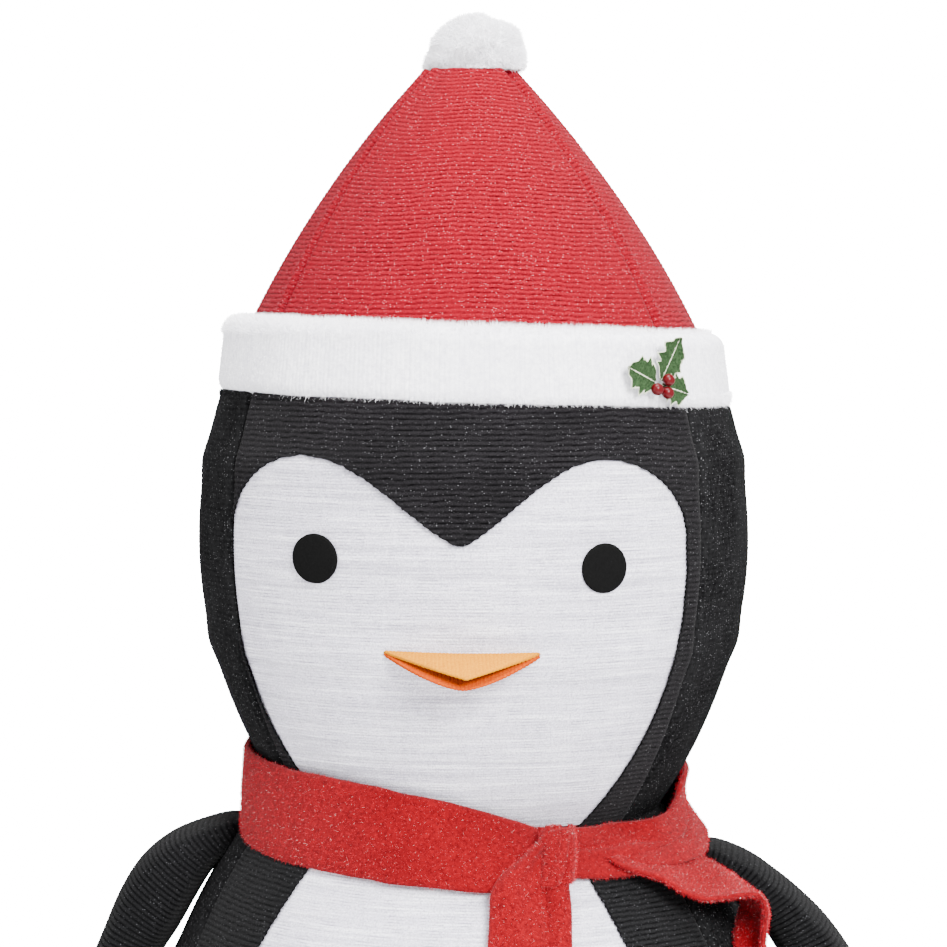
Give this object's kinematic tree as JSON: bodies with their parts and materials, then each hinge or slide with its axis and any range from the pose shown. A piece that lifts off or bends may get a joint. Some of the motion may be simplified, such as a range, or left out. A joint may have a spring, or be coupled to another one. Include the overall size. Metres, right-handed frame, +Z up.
{
  "type": "penguin display figure",
  "caption": "Free-standing fabric penguin on a wire cage, with a cone hat, holly, scarf with swinging tails and flippers that lift.",
  "frame": {"origin": "floor level under the mast, at the centre of the mast socket's foot plate", "axes": "+Z up, front of the figure towards -Y, its flippers along X"},
  "size_m": [0.602, 0.5139, 1.1997],
  "materials": {
    "base_steel": "satin",
    "mast_tube": "satin",
    "cage_wire": "satin",
    "thumb_screw": "gloss",
    "cap_plastic": "matte",
    "pad_rubber": "matte",
    "black_fabric": "matte",
    "white_fabric": "matte",
    "hat_fabric": "matte",
    "white_plush": "matte",
    "eye_felt": "matte",
    "beak_felt": "matte",
    "leaf_felt": "matte",
    "berry_gloss": "gloss",
    "scarf_plush": "matte",
    "flipper_fabric": "matte",
    "foot_fabric": "matte"
  },
  "bodies": {
    "figure": {"base_pads": "pad_rubber", "base_cross_bars": "base_steel", "base_ring": "base_steel", "mast_socket": "base_steel", "mast_lower_tube": "mast_tube", "mast_coupler": "base_steel", "mast_upper_tube": "mast_tube", "mast_screws": "thumb_screw", "mast_top_cap": "cap_plastic", "torso_hoop_bottom": "cage_wire", "torso_hoop_low": "cage_wire", "torso_hoop_mid": "cage_wire", "torso_hoop_high": "cage_wire", "shoulder_hoop": "cage_wire", "torso_ribs": "cage_wire", "shoulder_cross": "cage_wire", "neck_hoop": "cage_wire", "head_hoop_low": "cage_wire", "head_hoop_high": "cage_wire", "head_ribs": "cage_wire", "brim_cross": "cage_wire", "hat_hoop_bottom": "cage_wire", "hat_hoop_mid": "cage_wire", "hat_top_ring": "cage_wire", "hat_ribs": "cage_wire", "torso_front_overlay": "black_fabric", "belly_panel": "white_fabric", "torso_left_side": "black_fabric", "torso_right_side": "black_fabric", "torso_back": "black_fabric", "torso_bottom_panel": "black_fabric", "shoulder_yoke": "black_fabric", "head_front_overlay": "black_fabric", "face_panel": "white_fabric", "head_left_side": "black_fabric", "head_right_side": "black_fabric", "head_back": "black_fabric", "hat_front_panel": "hat_fabric", "hat_left_panel": "hat_fabric", "hat_right_panel": "hat_fabric", "hat_back_panel": "hat_fabric", "hat_top_disc": "hat_fabric", "brim_band": "white_plush", "pompom": "white_plush", "eye_left": "eye_felt", "eye_right": "eye_felt", "beak": "beak_felt", "holly_leaves": "leaf_felt", "holly_berries": "berry_gloss", "scarf_band": "scarf_plush", "scarf_knot": "scarf_plush", "foot_left": "foot_fabric", "foot_right": "foot_fabric", "foot_straps": "base_steel"},
    "flipper_left": {"flipper_left": "flipper_fabric"},
    "flipper_right": {"flipper_right": "flipper_fabric"},
    "scarf_front_tail": {"scarf_front_tail": "scarf_plush"},
    "scarf_side_tail": {"scarf_side_tail": "scarf_plush"}
  },
  "joints": [
    {"name": "flipper_left_lift", "type": "hinge", "parent": "figure", "child": "flipper_left", "pos_m": [-0.17, 0, 0.629], "axis": [0, 1, 0], "range_deg": [0, 60]},
    {"name": "flipper_right_lift", "type": "hinge", "parent": "figure", "child": "flipper_right", "pos_m": [0.17, 0, 0.621], "axis": [0, -1, 0], "range_deg": [0, 60]},
    {"name": "scarf_front_tail_swing", "type": "hinge", "parent": "figure", "child": "scarf_front_tail", "pos_m": [0.0439, -0.17606, 0.606], "axis": [-0.9703, -0.2419, 0], "range_deg": [0, 40]},
    {"name": "scarf_side_tail_swing", "type": "hinge", "parent": "figure", "child": "scarf_side_tail", "pos_m": [0.144, -0.1015, 0.615], "axis": [-0.5754, -0.8171, -0.0345], "range_deg": [0, 35]}
  ]
}
